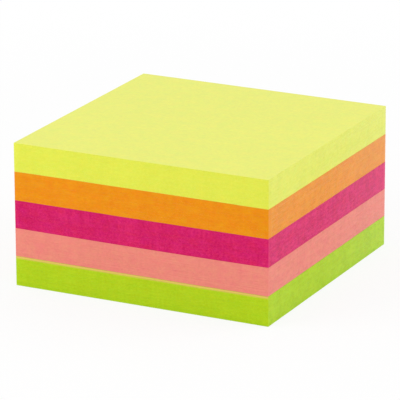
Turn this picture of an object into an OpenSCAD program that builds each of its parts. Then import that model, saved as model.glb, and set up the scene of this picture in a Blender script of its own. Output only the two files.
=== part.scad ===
// Memo cube: five pads of coloured note paper, laid on each other as one square block.
// The block stands on its lowest sheet. The origin is the middle of its underside.
// X runs along the front, Y runs to the back and Z runs up through the stack.

/* [Paper] */
// Side of the square sheets
sheet_side = 75; // [50:0.5:110]
// Thickness of one sheet
sheet_thickness = 0.1; // [0.08:0.005:0.15]

/* [Pads] */
// Sheets in the green pad
green_sheets = 83; // [20:1:120]
// Sheets in the salmon pad
salmon_sheets = 79; // [20:1:120]
// Sheets in the magenta pad
magenta_sheets = 78; // [20:1:120]
// Sheets in the orange pad
orange_sheets = 80; // [20:1:120]
// Sheets in the yellow pad
yellow_sheets = 80; // [20:1:120]

/* [Cut sides] */
// How far a sheet may be slipped out of the stack, along X and along Y
edge_slip = 0.02; // [0.005:0.005:0.08]
// Seed that picks one arrangement of the slipped sheets
slip_seed = 7; // [1:1:99]

/* [Hidden] */

// Sheets are counted up from the underside of the block. Each pad starts where the pad
// below it ends.
salmon_start = green_sheets;
magenta_start = salmon_start + salmon_sheets;
orange_start = magenta_start + magenta_sheets;
yellow_start = orange_start + orange_sheets;
block_sheets = yellow_start + yellow_sheets;

// Slip of every sheet in the block along X and along Y
slips_x = rands(-edge_slip, edge_slip, block_sheets, slip_seed);
slips_y = rands(-edge_slip, edge_slip, block_sheets, slip_seed + 1);

// A pad's two outlines run past each other, so that only their steps shape the pad
outline_run = sheet_side + 4 * edge_slip;

// Outline of the sheets from start up to end, seen along Y or along X: up the steps of
// one cut side and down the steps of the other
function leafed_outline(slips, start, end) = concat(
    [for (i = [start:end - 1], level = [i, i + 1])
        [slips[i] + sheet_side / 2, level * sheet_thickness]],
    [for (i = [end - 1:-1:start], level = [i + 1, i])
        [slips[i] - sheet_side / 2, level * sheet_thickness]]
);

// One pad of square sheets. Where its front outline and its side outline meet, all four
// cut sides show the edge of every sheet as a fine step.
module pad(start, sheets) {
    intersection() {
        rotate([90, 0, 0])
            linear_extrude(outline_run, center = true)
                polygon(leafed_outline(slips_x, start, start + sheets));
        rotate([90, 0, 90])
            linear_extrude(outline_run, center = true)
                polygon(leafed_outline(slips_y, start, start + sheets));
    }
}

// Lowest pad, which the block stands on
module green_pad() {
    color([0.69, 0.82, 0.13]) pad(0, green_sheets);
}

module salmon_pad() {
    color([0.93, 0.54, 0.48]) pad(salmon_start, salmon_sheets);
}

module magenta_pad() {
    color([0.83, 0.14, 0.4]) pad(magenta_start, magenta_sheets);
}

module orange_pad() {
    color([0.93, 0.57, 0.11]) pad(orange_start, orange_sheets);
}

// Top pad: its uppermost sheet is the next one to be written on
module yellow_pad() {
    color([0.91, 0.93, 0.35]) pad(yellow_start, yellow_sheets);
}

green_pad();
salmon_pad();
magenta_pad();
orange_pad();
yellow_pad();
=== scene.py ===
"""Dresses a memo cube: five pads of coloured note sheets, in soft and even studio light."""

from math import cos, pi, radians, sin, sqrt
from typing import NamedTuple

import bpy
import numpy as np
from mathutils import Matrix, Vector


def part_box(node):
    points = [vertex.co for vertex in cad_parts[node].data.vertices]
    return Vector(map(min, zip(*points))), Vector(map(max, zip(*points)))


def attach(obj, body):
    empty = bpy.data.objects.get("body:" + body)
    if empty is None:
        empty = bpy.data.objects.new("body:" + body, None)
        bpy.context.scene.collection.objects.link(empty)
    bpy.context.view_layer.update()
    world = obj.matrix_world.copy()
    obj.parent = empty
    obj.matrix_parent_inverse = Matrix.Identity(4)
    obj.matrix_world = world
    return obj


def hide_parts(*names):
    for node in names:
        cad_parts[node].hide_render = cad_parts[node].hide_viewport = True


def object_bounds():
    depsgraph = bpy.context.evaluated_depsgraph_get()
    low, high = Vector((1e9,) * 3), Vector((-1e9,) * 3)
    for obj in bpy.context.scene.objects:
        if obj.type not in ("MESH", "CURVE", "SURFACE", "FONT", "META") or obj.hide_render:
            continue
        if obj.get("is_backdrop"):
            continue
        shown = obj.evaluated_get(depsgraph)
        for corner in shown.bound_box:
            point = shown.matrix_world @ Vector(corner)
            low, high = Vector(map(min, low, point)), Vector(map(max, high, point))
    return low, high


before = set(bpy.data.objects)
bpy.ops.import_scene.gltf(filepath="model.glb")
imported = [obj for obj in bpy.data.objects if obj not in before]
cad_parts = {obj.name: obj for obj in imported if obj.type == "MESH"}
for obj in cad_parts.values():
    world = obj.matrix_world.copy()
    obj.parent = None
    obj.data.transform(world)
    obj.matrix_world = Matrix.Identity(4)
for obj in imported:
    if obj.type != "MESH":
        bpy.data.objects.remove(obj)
cad_low, cad_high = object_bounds()

MM = 0.001
WHITE = (1.0, 1.0, 1.0)
SEED = 5                   # picks one arrangement of all that is random in the meshes

# Sheets
SHEET = 0.1 * MM           # thickness of one sheet
SLIP = 0.02 * MM           # how far a sheet may lie out of the stack
EDGE_FLAT = 0.7            # share of a sheet's thickness that its cut edge keeps upright
CORNER = 0.1 * MM          # radius of the block's upright corners

# Hollows between the sheets' edges
TIGHT = 0.006 * MM         # depth of the tightest
OPEN = 0.0264 * MM         # depth of the most open
OPEN_RARITY = 4            # the higher, the fewer hollows come near that
GAPE_CHANGE = 0.5          # share of its depth that a hollow gains or loses along its length
GAPE_MOST = 2              # it never gets more than this many times its depth
CREASE = 0.06 * MM         # depth of the hollow between two pads
CREASE_SHY = 0.03 * MM     # how far that hollow reaches up and down from the pads' meeting

# The whole block's unevenness
RIPPLE = 0.015 * MM        # how far the sheets ripple up and down inside the stack
CALM = 1.5 * MM            # the ripple fades over this height to the block's underside and top
CUT = 0.006 * MM           # how far the knife wandered in and out along a cut side

# Its random fields: the shortest and longest of their waves along a sheet, and how many times
# as fast they change up the stack
WAVES = 24                 # sine waves in each field
RIPPLE_LENGTHS, RIPPLE_RISE = (12 * MM, 40 * MM), 4
CUT_LENGTHS, CUT_RISE = (4 * MM, 14 * MM), 0.1
GAPE_LENGTHS, GAPE_RISE = (5 * MM, 20 * MM), 200      # every hollow varies in its own way

# Sag of the sheets in the middle of the front side, at each pad's underside and at the top
SAGS = [0, -0.05 * MM, -0.19 * MM, -0.05 * MM, 0.05 * MM, 0]

# The green pad's top sheets stand out along the front and are pale there: a painted highlight of light
# that catches that ledge
RIM_HIGHLIGHT_COLOUR = (0.89, 0.54, 0.17)
RIM_HIGHLIGHT_SHARES = (0.2, 0.3, 0.4, 0.6, 0.8, 0.9, 0.7, 0.4)      # of that colour, from the lowest sheet up
PROUD = 0.1 * MM           # how far a sheet with all of it would stand out
PROUD_FADE = 8             # the higher, the nearer to the corners the sheets still stand out

# Mesh
SIDE_STEPS = 48            # mesh steps along one side of a sheet
CORNER_STEPS = 4           # mesh steps round one upright corner, an even number
SHARP = radians(30)        # an edge sharper than this stays crisp

# Layout of a pad's square texture map: two square caps below, four strips of cut side above
MAP_SIDE = 160 * MM        # side of the map, with the caps and the strips' length at their real size
MAP_CELL = 79 * MM         # width and height of a cap's place, and width of a strip's
MAP_STRIP = 38 * MM        # height that a strip is stretched to
MAP_GAP = 1.1 * MM         # between one strip and the next above it
MAP_MARGIN = 0.5 * MM      # between the map's edge and what lies on it


class Haze(NamedTuple):
    """The pale sheen that a paper's loose fibres give it at a low angle."""

    weight: float
    width: float           # the higher, the further it reaches from the lowest angles
    colour: tuple


class Layer(NamedTuple):
    """One layer of a paper's unevenness: a random pattern with finer copies of itself on top."""

    turns: tuple           # how often it changes in a millimetre along X, Y and Z
    detail: float          # number of the copies
    roughness: float       # strength of each copy beside the one before
    shade: float = 0.0     # its weight in the colour
    relief: float = 0.0    # and in the relief


class Pad(NamedTuple):
    """A pad's CAD node, its material slot, which is not used, and the look of its cut sides."""

    node: str
    slot: str
    colour: tuple
    gain: float            # share of that colour that it gains or loses from spot to spot
    dust: float            # plain white that it gains or loses from spot to spot
    relief: float          # height of its roughness
    haze: Haze


# From the lowest pad to the top
PADS = [
    Pad(
        "green_pad", "green_paper", colour=(0.466, 0.666, 0.013), gain=0.06, dust=0.004,
        relief=0.011 * MM, haze=Haze(0.55, 0.37, (0.42, 0.95, 0.60)),
    ),
    Pad(
        "salmon_pad", "salmon_paper", colour=(0.845, 0.264, 0.209), gain=0.045, dust=0.004,
        relief=0.011 * MM, haze=Haze(0.50, 0.37, (1.0, 0.74, 0.78)),
    ),
    Pad(
        "magenta_pad", "magenta_paper", colour=(0.654, 0.008, 0.130), gain=0.12, dust=0.013,
        relief=0.010 * MM, haze=Haze(1.0, 0.45, (1.0, 0.29, 0.48)),
    ),
    Pad(
        "orange_pad", "orange_paper", colour=(0.838, 0.286, 0.002), gain=0.055, dust=0.002,
        relief=0.012 * MM, haze=Haze(0.75, 0.39, (1.0, 0.92, 0.87)),
    ),
    Pad(
        "yellow_pad", "yellow_paper", colour=(0.757, 0.808, 0.071), gain=0.028, dust=0.010,
        relief=0.008 * MM, haze=Haze(0.84, 0.42, (1.0, 1.0, 0.95)),
    ),
]

# A pad's cut sides, from long upright streaks to single fibres
STREAKS = Layer((0.25, 0.25, 0.02), 4.0, 0.9, 0.95, 2.0)
MOTTLE = Layer((0.3, 0.3, 0.4), 4.0, 0.85, 1.0, 2.0)
SPECKS = Layer((1.4, 0.8, 1.6), 3.0, 0.6, 1.9, 3.2)
FIBRES = Layer((6.0, 6.0, 10.0), 3.0, 0.7, 0.9, 0.6)
LEAVES = Layer((0.2, 0.2, 60.0), 3.0, 0.6, 0.5, 0.5)       # its Z is the sheet's own tone
TONE_SHADE = 0.1           # weight of the sheet's tone in the colour
TONE_RELIEF = 0.3          # and in the relief
DYE = Layer((0.35, 0.35, 0.5), 3.0, 0.7)                   # shifts the hue
PADS_APART = 500           # millimetres between two pads' places in the noise

# The left and right sides
SIDE_CUT = 1.8             # they are this many times as rough as the front and the back
PAINTED_SHEEN_SPOTS = 0.010               # share of white that their palest spots gain, a painted sheen that is uneven from spot to spot
PAINTED_BACK_SHEEN = 0.039             # share of white that they gain at their back edge, a painted sheen
PAINTED_SHEEN_FROM = -12 * MM     # where along Y that painted sheen begins
CORNER_HIGHLIGHT_AND_WEAR = 0.6            # rise of their tone at the upright corners: partly a painted highlight, partly fibres that stand up there
CORNER_HIGHLIGHT_FROM = 1.3 * MM       # it begins this far from the corners
CORNER_HIGHLIGHT_TO = 0.5 * MM         # and is all there this far from them

# Marks that the knife left down the whole block
KNIFE = Layer((0.15, 0.15, 0.004), 5.0, 0.65, 1.2, 2.5)
FRONT_KNIFE = 0.5          # their strength on the front and back sides
SIDE_KNIFE = 0.7           # and on the left and right sides

# A sheet's face
TOP_COLOUR = (0.816, 0.845, 0.085)
TOP_HAZE = Haze(0.43, 0.42, WHITE)
FACE_LAYERS = [
    Layer((0.06, 0.06, 0.06), 2.0, 0.55, 0.4, 0.0),        # broad clouds
    Layer((0.4, 0.4, 0.4), 4.0, 0.85, 1.3, 1.0),           # mottle
    Layer((1.1, 1.1, 1.1), 2.0, 0.55, 1.4, 1.0),           # specks
    Layer((6.0, 6.0, 6.0), 3.0, 0.7, 1.2, 1.5),            # fibres
]
FACE_DYE = Layer((0.25, 0.25, 2.0), 3.0, 0.7)
FACE_GAIN = 0.05           # gain, dust and relief as in a pad
FACE_DUST = 0.004
FACE_RELIEF = 0.010 * MM
FACE_TONE = 0.5            # middle of the sheets' tones

# All the paper
HUE_SHIFT = 0.035          # width of the range of hues in one paper
ROUGH = 0.5
ROUGH_CHANGE = 0.25        # width of the range of roughness round that
PAPER_IOR = 1.1            # low, as loose fibres have hardly any gloss


# Block

half = (cad_high.x - cad_low.x) / 2 - SLIP
flat = half - CORNER
levels = [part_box(pad.node)[0].z for pad in PADS] + [cad_high.z]
rng = np.random.default_rng(SEED)


def random_field(shortest, longest):
    """A smooth random function of the place, from -1 to 1 or so: sine waves in all directions."""
    directions = rng.normal(size=(WAVES, 3))
    directions /= np.linalg.norm(directions, axis=1, keepdims=True)
    lengths = shortest * (longest / shortest) ** rng.random(WAVES)
    phases = rng.uniform(0, 2 * pi, WAVES)
    numbers = directions.T * (2 * pi / lengths)

    def field(points, heights, rise):
        places = np.column_stack([points, np.broadcast_to(heights * rise, len(points))])
        return np.sin(places @ numbers + phases).sum(axis=1) / sqrt(WAVES)

    return field


# The whole block was cut in one go, so its pads share these
ripple_field = random_field(*RIPPLE_LENGTHS)
cut_field = random_field(*CUT_LENGTHS)
gape_field = random_field(*GAPE_LENGTHS)


def worn(verts):
    """The plain stack with its sheets rippled. They sag in the front half, most in its middle."""
    x, y, z = verts.T
    calm = np.minimum(1, np.minimum(z - cad_low.z, cad_high.z - z) / CALM)
    ripple = RIPPLE * calm * ripple_field(verts[:, :2], z, RIPPLE_RISE)
    sag = np.interp(z, levels, SAGS) * (1 - (x / half) ** 2) * np.clip(-y / half, 0, 1) ** 2
    return np.column_stack([x, y, z + ripple + sag])


def outline():
    """One sheet's outline from the front left corner round to the right: points and outward normals."""
    points, normals = [], []
    for quarter in range(4):
        turn = quarter * pi / 2
        steps = [(flat * (2 * i / SIDE_STEPS - 1), -half, -pi / 2) for i in range(SIDE_STEPS + 1)]
        for i in range(1, CORNER_STEPS):
            angle = -pi / 2 + pi / 2 * i / CORNER_STEPS
            steps.append((flat + CORNER * cos(angle), -flat + CORNER * sin(angle), angle))
        for x, y, angle in steps:
            points.append((x * cos(turn) - y * sin(turn), x * sin(turn) + y * cos(turn)))
            normals.append((cos(angle + turn), sin(angle + turn)))
    return np.array(points), np.array(normals)


def segments():
    """For each step of the outline: the cut side that it belongs to, and its two ends along it."""
    arc = pi / 2 * CORNER / CORNER_STEPS
    lead = arc * CORNER_STEPS / 2
    step = 2 * flat / SIDE_STEPS
    made = []
    for side in range(4):
        made += [(side, lead + step * i, lead + step * (i + 1)) for i in range(SIDE_STEPS)]
        for i in range(CORNER_STEPS):
            before = i < CORNER_STEPS // 2
            start = lead + 2 * flat + arc * i if before else arc * (i - CORNER_STEPS // 2)
            made.append((side if before else (side + 1) % 4, start, start + arc))
    return made


class Ring(NamedTuple):
    """One ring of points round a pad's cut sides."""

    height: float
    hollow: float          # how far it lies in from the sheets' edges
    slip: np.ndarray       # how far it lies out of the stack, along X and along Y
    tone: float            # of its sheet, from 0 to 1
    pale: float            # its share of the rim's colour, a painted highlight, along the front


def rings(low, high, has_rim):
    """A pad's rings from its underside up: two for each sheet, and one in the hollow between two."""
    count = round((high - low) / SHEET)
    thick = (high - low) / count
    slips = rng.uniform(-SLIP, SLIP, (count, 2))
    tones = rng.random(count)
    rim_highlights = np.zeros(count)
    if has_rim:
        rim_highlights[-len(RIM_HIGHLIGHT_SHARES):] = RIM_HIGHLIGHT_SHARES
    hollows = TIGHT + (OPEN - TIGHT) * rng.random(count + 1) ** OPEN_RARITY
    shies = np.full(count + 1, thick * (1 - EDGE_FLAT) / 2)
    if low > cad_low.z:
        hollows[0], shies[0] = CREASE, CREASE_SHY
    if high < cad_high.z:
        hollows[-1], shies[-1] = CREASE, CREASE_SHY

    def ring(height, hollow, below, above):
        shared = [(part[below] + part[above]) / 2 for part in (slips, tones, rim_highlights)]
        return Ring(height, hollow, *shared)

    made = [ring(low, hollows[0], 0, 0)]
    for i in range(count):
        base = low + i * thick
        made.append(ring(base + shies[i], 0.0, i, i))
        made.append(ring(base + thick - shies[i + 1], 0.0, i, i))
        made.append(ring(base + thick, hollows[i + 1], i, min(i + 1, count - 1)))
    return made


def frontness(normals):
    """How squarely each point of an outline faces the front, from 0 to 1."""
    return np.clip(-normals[:, 1], 0, 1)


def side_verts(stack, points, normals):
    """The points of a pad's cut sides, ring by ring."""
    forward = PROUD * frontness(normals) * (1 - (points[:, 0] / half) ** PROUD_FADE)
    made = []
    for ring in stack:
        gape = np.clip(1 + GAPE_CHANGE * gape_field(points, ring.height, GAPE_RISE), 0, GAPE_MOST)
        out = CUT * cut_field(points, ring.height, CUT_RISE) - ring.hollow * gape
        place = points + normals * out[:, None] + ring.slip
        place[:, 1] -= ring.pale * forward
        made.append(np.column_stack([place, np.full(len(points), ring.height)]))
    return made


def side_faces(stack, around):
    """The faces of a pad's cut sides, and their places on the texture map."""
    faces, places = [], []
    low, high = stack[0].height, stack[-1].height
    heights = [MAP_STRIP * (ring.height - low) / (high - low) for ring in stack]
    for ring in range(len(stack) - 1):
        for i, (side, left, right) in enumerate(segments()):
            a = ring * around + i
            b = ring * around + (i + 1) % around
            faces.append((a, b, b + around, a + around))
            u = MAP_CELL * (side % 2)
            v = MAP_CELL + (MAP_STRIP + MAP_GAP) * (side // 2)
            below, above = v + heights[ring], v + heights[ring + 1]
            places += [(u + left, below), (u + right, below), (u + right, above), (u + left, above)]
    return faces, places


def cap_faces(first, start):
    """Faces of one cap: its grid, whose points begin at first, sewn to the ring that begins at start."""
    row = SIDE_STEPS + 1
    quarter = SIDE_STEPS + CORNER_STEPS
    edges = [
        [first + i for i in range(row)],
        [first + SIDE_STEPS + i * row for i in range(row)],
        [first + row * row - 1 - i for i in range(row)],
        [first + (SIDE_STEPS - i) * row for i in range(row)],
    ]
    made = []
    for j in range(SIDE_STEPS):
        for i in range(SIDE_STEPS):
            a = first + j * row + i
            made.append((a, a + 1, a + row + 1, a + row))
    for side, edge in enumerate(edges):
        base = start + side * quarter
        for i in range(SIDE_STEPS):
            made.append((base + i, base + i + 1, edge[i + 1], edge[i]))
        for i in range(CORNER_STEPS):
            a = base + SIDE_STEPS + i
            b = start + (side * quarter + SIDE_STEPS + i + 1) % (4 * quarter)
            made.append((a, b, edge[SIDE_STEPS]))
    return made


def cap_grid():
    """The points of a cap inside its outline, row by row from the front."""
    line = np.linspace(-flat, flat, SIDE_STEPS + 1)
    return np.column_stack([axis.ravel() for axis in np.meshgrid(line, line)])


def pad_mesh(name, low, high, has_rim):
    """One closed mesh: the pad's cut sides sheet by sheet, and its flat underside and top."""
    points, normals = outline()
    around = len(points)
    stack = rings(low, high, has_rim)
    verts = side_verts(stack, points, normals)
    tones = [ring.tone for ring in stack for _ in range(around)]
    rim_highlights = [ring.pale * share for ring in stack for share in frontness(normals)]
    faces, places = side_faces(stack, around)
    side_count = len(faces)
    grid = cap_grid()
    under_grid = around * len(stack)     # number of the first point of the underside's grid
    top_grid = under_grid + len(grid)    # and of the top's
    faces += [face[::-1] for face in cap_faces(under_grid, 0)]
    faces += cap_faces(top_grid, under_grid - around)
    for z in (low, high):
        verts.append(np.column_stack([grid, np.full(len(grid), z)]))
        tones += [FACE_TONE] * len(grid)
        rim_highlights += [0.0] * len(grid)
    verts = np.concatenate(verts)
    for face in faces[side_count:]:
        u = half + MAP_CELL * (max(face) >= top_grid)
        places += [(u + verts[i][0], half + verts[i][1]) for i in face]
    mesh = bpy.data.meshes.new(name)
    mesh.from_pydata(worn(verts).tolist(), [], faces)
    mesh.polygons.foreach_set("material_index", [0] * side_count + [1] * (len(faces) - side_count))
    for key, values in (("tone", tones), ("pale", rim_highlights)):
        mesh.attributes.new(key, "FLOAT", "POINT").data.foreach_set("value", values)
    layer = mesh.uv_layers.new(name="OFBake")
    layer.uv.foreach_set("vector", ((np.array(places) + MAP_MARGIN) / MAP_SIDE).ravel())
    mesh.polygons.foreach_set("use_smooth", [True] * len(faces))
    mesh.set_sharp_from_angle(angle=SHARP)
    return mesh


# Materials


def node(tree, kind, values=None, links=None, **settings):
    """A new shader node with its settings, its plain values and its links."""
    made = tree.nodes.new(kind)
    for key, value in settings.items():
        setattr(made, key, value)
    for key, value in (values or {}).items():
        made.inputs[key].default_value = value
    for key, source in (links or {}).items():
        tree.links.new(source, made.inputs[key])
    return made


def calculate(tree, operation, *parts):
    """One step of arithmetic on sockets and plain numbers."""
    values = {key: part for key, part in enumerate(parts) if isinstance(part, (int, float))}
    links = {key: part for key, part in enumerate(parts) if key not in values}
    return node(tree, "ShaderNodeMath", values, links, operation=operation).outputs[0]


def noise(tree, place, layer):
    """A layer's noise, from 0 to 1."""
    scaled = node(tree, "ShaderNodeVectorMath", {1: layer.turns}, {0: place}, operation="MULTIPLY")
    values = {"Scale": 1.0, "Detail": layer.detail, "Roughness": layer.roughness}
    return node(tree, "ShaderNodeTexNoise", values, {"Vector": scaled.outputs[0]}).outputs["Fac"]


def blend(tree, parts):
    """The sum of several values from 0 to 1, each centred on nought and times its weight."""
    total = 0.0
    for value, weight in parts:
        part = calculate(tree, "MULTIPLY_ADD", value, weight, -weight / 2)
        total = calculate(tree, "ADD", part, total)
    return total


def mix_colours(tree, factor, first, second):
    """A colour between the first, at 0, and the second, at 1. Either is a socket or three numbers."""
    made = node(tree, "ShaderNodeMix", data_type="RGBA")
    tree.links.new(factor, made.inputs["Factor"])
    for identifier, colour in (("A_Color", first), ("B_Color", second)):
        socket = next(i for i in made.inputs if i.identifier == identifier)
        if isinstance(colour, bpy.types.NodeSocket):
            tree.links.new(colour, socket)
        else:
            socket.default_value = (*colour, 1)
    return next(o for o in made.outputs if o.identifier == "Result_Color")


def tint(tree, factor, colour, gain, dust, dye):
    """A colour that turns deeper and paler with the factor and shifts its hue with the dye."""
    deep = [max(0.0, c * (1 - gain) - dust) for c in colour]
    pale = [min(1.0, c * (1 + gain) + dust) for c in colour]
    mixed = mix_colours(tree, calculate(tree, "ADD", factor, 0.5), deep, pale)
    hue = calculate(tree, "MULTIPLY_ADD", dye, HUE_SHIFT, 0.5 - HUE_SHIFT / 2)
    return node(tree, "ShaderNodeHueSaturation", links={"Hue": hue, "Color": mixed}).outputs["Color"]


def new_material(name, haze):
    """An empty paper material: its node tree, its shader and the place in millimetres."""
    material = bpy.data.materials.new(name)
    material.use_nodes = True
    tree = material.node_tree
    shader = tree.nodes["Principled BSDF"]
    shader.inputs["IOR"].default_value = PAPER_IOR
    shader.inputs["Sheen Weight"].default_value = haze.weight
    shader.inputs["Sheen Roughness"].default_value = haze.width
    shader.inputs["Sheen Tint"].default_value = (*haze.colour, 1)
    place = node(tree, "ShaderNodeTexCoord").outputs["Object"]
    scale = node(tree, "ShaderNodeVectorMath", {1: (1 / MM,) * 3}, {0: place}, operation="MULTIPLY")
    return material, tree, shader, scale.outputs[0]


def ramp(tree, value, start, end, low, high):
    """A smooth rise from low to high while the value goes from start to end."""
    limits = {"From Min": start, "From Max": end, "To Min": low, "To Max": high}
    rise = node(tree, "ShaderNodeMapRange", limits, {"Value": value}, interpolation_type="SMOOTHSTEP")
    return rise.outputs[0]


def attribute(tree, name):
    """The value that a mesh's points carry under this name."""
    return node(tree, "ShaderNodeAttribute", attribute_name=name).outputs["Fac"]


def finish_material(tree, shader, colour, rough, relief, depth):
    """Joins a material's colour, its roughness and the relief that its surface has."""
    roughness = calculate(tree, "MULTIPLY_ADD", rough, ROUGH_CHANGE, ROUGH)
    bump = node(tree, "ShaderNodeBump", {"Strength": 1.0, "Distance": depth}, {"Height": relief})
    tree.links.new(colour, shader.inputs["Base Color"])
    tree.links.new(roughness, shader.inputs["Roughness"])
    tree.links.new(bump.outputs[0], shader.inputs["Normal"])


def knife_marks(tree, place, sideways):
    """The knife's marks, centred on nought, with their own strength on the left and right sides."""
    strength = calculate(tree, "MULTIPLY_ADD", sideways, SIDE_KNIFE - FRONT_KNIFE, FRONT_KNIFE)
    marks = calculate(tree, "SUBTRACT", noise(tree, place, KNIFE), 0.5)
    return calculate(tree, "MULTIPLY", marks, strength)


def corner_highlight_and_wear(tree, y):
    """Rises from 0 to its full amount where the left and right sides come to the upright corners: partly
    a painted highlight, partly paler fibres that stand up there.
    """
    near = calculate(tree, "ABSOLUTE", y)
    return ramp(tree, near, (half - CORNER_HIGHLIGHT_FROM) / MM, (half - CORNER_HIGHLIGHT_TO) / MM, 0, CORNER_HIGHLIGHT_AND_WEAR)


def painted_sheen_share(tree, y, shades, sideways):
    """The share of white in the left and right sides, a painted sheen: it grows in pale spots and to the
    back.
    """
    painted_back_sheen = ramp(tree, y, PAINTED_SHEEN_FROM / MM, half / MM, 0, PAINTED_BACK_SHEEN)
    # Painted sheen in pale spots, following the paper's shades
    painted_spot_sheen = calculate(tree, "MULTIPLY_ADD", shades, PAINTED_SHEEN_SPOTS, PAINTED_SHEEN_SPOTS / 2)
    return calculate(tree, "MULTIPLY", calculate(tree, "ADD", painted_back_sheen, painted_spot_sheen), sideways)


def cut_side_material(name, index, pad):
    """The cut sides of a pad: sheets of slightly different tone, fibres, and streaks from the knife."""
    material, tree, shader, place = new_material(name, pad.haze)
    x, y, _ = node(tree, "ShaderNodeSeparateXYZ", links={0: place}).outputs
    tone = attribute(tree, "tone")
    apart = (0, 0, PADS_APART * index)
    own = node(tree, "ShaderNodeVectorMath", {1: apart}, {0: place}, operation="ADD").outputs[0]
    along_sheet = node(tree, "ShaderNodeCombineXYZ", links={0: x, 1: y, 2: tone}).outputs[0]
    layers = [(layer, noise(tree, own, layer)) for layer in (STREAKS, MOTTLE, SPECKS, FIBRES)]
    layers.append((LEAVES, noise(tree, along_sheet, LEAVES)))
    shades = blend(tree, [(value, layer.shade) for layer, value in layers] + [(tone, TONE_SHADE)])
    relief = blend(tree, [(value, layer.relief) for layer, value in layers] + [(tone, TONE_RELIEF)])
    normal = node(tree, "ShaderNodeNewGeometry").outputs["Normal"]
    facing_x = node(tree, "ShaderNodeSeparateXYZ", links={0: normal}).outputs["X"]
    sideways = calculate(tree, "ABSOLUTE", facing_x)
    cut = calculate(tree, "MULTIPLY_ADD", sideways, SIDE_CUT - 1, 1.0)
    marks = knife_marks(tree, place, sideways)
    shades = calculate(tree, "MULTIPLY_ADD", marks, KNIFE.shade, shades)
    shades = calculate(tree, "MULTIPLY", shades, cut)
    relief = calculate(tree, "MULTIPLY_ADD", marks, KNIFE.relief, relief)
    relief = calculate(tree, "MULTIPLY", relief, cut)
    # Painted highlight, with standing fibres, where the left and right sides meet the upright corners
    factor = calculate(tree, "MULTIPLY_ADD", corner_highlight_and_wear(tree, y), sideways, shades)
    dyed = tint(tree, factor, pad.colour, pad.gain, pad.dust, noise(tree, own, DYE))
    # Painted sheen: white mixed into the left and right sides, more to the back and in pale spots
    with_painted_sheen = mix_colours(tree, painted_sheen_share(tree, y, shades, sideways), dyed, WHITE)
    # Painted highlight along the front of the green pad's top sheets
    paper = mix_colours(tree, attribute(tree, "pale"), with_painted_sheen, RIM_HIGHLIGHT_COLOUR)
    finish_material(tree, shader, paper, shades, relief, pad.relief)
    return material


def sheet_face_material(name, colour, haze):
    """The face of a sheet: fine fibres and a faintly uneven dye."""
    material, tree, shader, place = new_material(name, haze)
    layers = [(layer, noise(tree, place, layer)) for layer in FACE_LAYERS]
    shades = blend(tree, [(value, layer.shade) for layer, value in layers])
    relief = blend(tree, [(value, layer.relief) for layer, value in layers])
    paper = tint(tree, shades, colour, FACE_GAIN, FACE_DUST, noise(tree, place, FACE_DYE))
    finish_material(tree, shader, paper, shades, relief, FACE_RELIEF)
    return material


# Pads

for index, pad in enumerate(PADS):
    low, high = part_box(pad.node)
    name = pad.node.replace("_pad", "_sheets")
    piece = bpy.data.objects.new(name, pad_mesh(name, low.z, high.z, has_rim=index == 0))
    bpy.context.scene.collection.objects.link(piece)
    piece.data.materials.append(cut_side_material(name + "_cut", index, pad))
    is_top = index == len(PADS) - 1
    face_look = (TOP_COLOUR, TOP_HAZE) if is_top else (pad.colour, pad.haze)
    piece.data.materials.append(sheet_face_material(name + "_face", *face_look))
    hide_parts(pad.node)
    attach(piece, "root")

# Camera

AZIMUTH = radians(26.60)       # the camera stands this far to the right of the block's front
ELEVATION = radians(17.92)
ROLL = radians(0.19)
DISTANCE = 954.3 * MM          # from the middle of the block's underside, along the view
RISE = 17.56 * MM              # the view's middle passes this far above that point
SIDESTEP = -0.92 * MM          # and this far to its right
SENSOR = 36.0                  # millimetres, as the focal length
FOCAL_LENGTH = 313.9
CLIP_START, CLIP_END = 0.05, 20   # the camera sees nothing nearer or farther than these

back = Vector((sin(AZIMUTH) * cos(ELEVATION), -cos(AZIMUTH) * cos(ELEVATION), sin(ELEVATION)))
level_right = Vector((cos(AZIMUTH), sin(AZIMUTH), 0))
level_up = back.cross(level_right)
right = level_right * cos(ROLL) - level_up * sin(ROLL)
up = level_up * cos(ROLL) + level_right * sin(ROLL)
camera_data = bpy.data.cameras.new("camera")
camera_data.sensor_width = SENSOR
camera_data.lens = FOCAL_LENGTH
camera_data.clip_start = CLIP_START
camera_data.clip_end = CLIP_END
camera = bpy.data.objects.new("camera", camera_data)
bpy.context.scene.collection.objects.link(camera)
turn = Matrix((right, up, back)).transposed().to_4x4()
camera.matrix_world = Matrix.Translation(back * DISTANCE + up * RISE + right * SIDESTEP) @ turn
bpy.context.scene.camera = camera

# Light

WORLD_LEVEL = 0.8              # strength of the light from all round, where 1 is white


class Lamp(NamedTuple):
    """A square lamp that shines on the middle of the block's underside."""

    name: str
    direction: Vector          # from the block to the lamp
    level: float               # how bright it makes a white surface that faces it, where 1 is white
    distance: float
    size: float


LAMPS = [
    Lamp("left_lamp", Vector((-0.62, -0.62, 0.45)), level=0.264, distance=0.55, size=0.35),
    Lamp("right_lamp", Vector((0.70, 0.38, 0.45)), level=0.208, distance=0.6, size=0.35),
]


def backdrop_share(tree):
    """1 for what the camera sees directly, in gloss or through glass, and 0 for light on things."""
    path = node(tree, "ShaderNodeLightPath")
    seen = calculate(tree, "MAXIMUM", path.outputs["Is Camera Ray"], path.outputs["Is Glossy Ray"])
    return calculate(tree, "MAXIMUM", seen, path.outputs["Is Transmission Ray"])


world = bpy.data.worlds.new("studio")
bpy.context.scene.world = world
world.use_nodes = True
tree = world.node_tree
sky = tree.nodes["Background"]
sky.inputs["Color"].default_value = (*WHITE, 1)
strength = calculate(tree, "MULTIPLY_ADD", backdrop_share(tree), 1 - WORLD_LEVEL, WORLD_LEVEL)
tree.links.new(strength, sky.inputs["Strength"])

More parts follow.
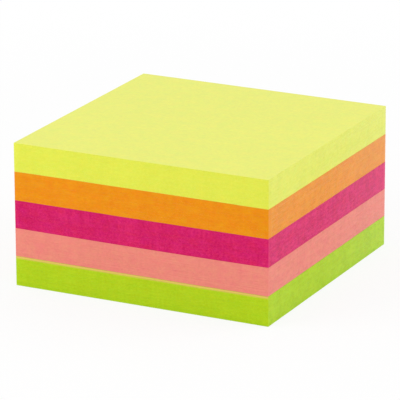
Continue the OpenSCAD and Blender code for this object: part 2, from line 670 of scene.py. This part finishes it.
for lamp in LAMPS:
    direction = lamp.direction.normalized()
    data = bpy.data.lights.new(lamp.name, "AREA")
    data.size = lamp.size
    data.energy = lamp.level * pi**2 * lamp.distance**2
    light = bpy.data.objects.new(lamp.name, data)
    bpy.context.scene.collection.objects.link(light)
    light.location = direction * lamp.distance
    light.rotation_mode = "QUATERNION"
    light.rotation_quaternion = direction.to_track_quat("Z", "Y")

# Floor

FLOOR_REACH = 3.0              # from the block's middle to the floor's edges
FLOOR_GAP = 0.03 * MM          # the block's own unevenness holds it this far off the floor
FLOOR_WHITE = 0.97
FLOOR_GLOW = 0.85              # share of plain white that the camera sees in the floor near the block
GLOW_FROM = 120 * MM           # the share rises from here
GLOW_TO = 300 * MM             # and is all of it from here on

floor_mesh = bpy.data.meshes.new("floor")
signs = [(-1, -1), (1, -1), (1, 1), (-1, 1)]
corners = [(x * FLOOR_REACH, y * FLOOR_REACH, -FLOOR_GAP) for x, y in signs]
floor_mesh.from_pydata(corners, [], [(0, 1, 2, 3)])
floor = bpy.data.objects.new("floor", floor_mesh)
bpy.context.scene.collection.objects.link(floor)
floor_material = bpy.data.materials.new("floor")
floor_material.use_nodes = True
tree = floor_material.node_tree
tree.nodes.clear()
matt = node(tree, "ShaderNodeBsdfDiffuse", {"Color": (FLOOR_WHITE,) * 3 + (1,)})
glow = node(tree, "ShaderNodeEmission", {"Color": (*WHITE, 1), "Strength": 1.0})
place = node(tree, "ShaderNodeTexCoord").outputs["Object"]
away = node(tree, "ShaderNodeVectorMath", links={0: place}, operation="LENGTH").outputs["Value"]
glowing = ramp(tree, away, GLOW_FROM, GLOW_TO, FLOOR_GLOW, 1)
share = calculate(tree, "MULTIPLY", backdrop_share(tree), glowing)
mix = node(tree, "ShaderNodeMixShader", links={0: share, 1: matt.outputs[0], 2: glow.outputs[0]})
node(tree, "ShaderNodeOutputMaterial", links={"Surface": mix.outputs[0]})
floor_mesh.materials.append(floor_material)
floor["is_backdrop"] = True

bpy.context.scene.view_settings.view_transform = "Standard"

low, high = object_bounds()
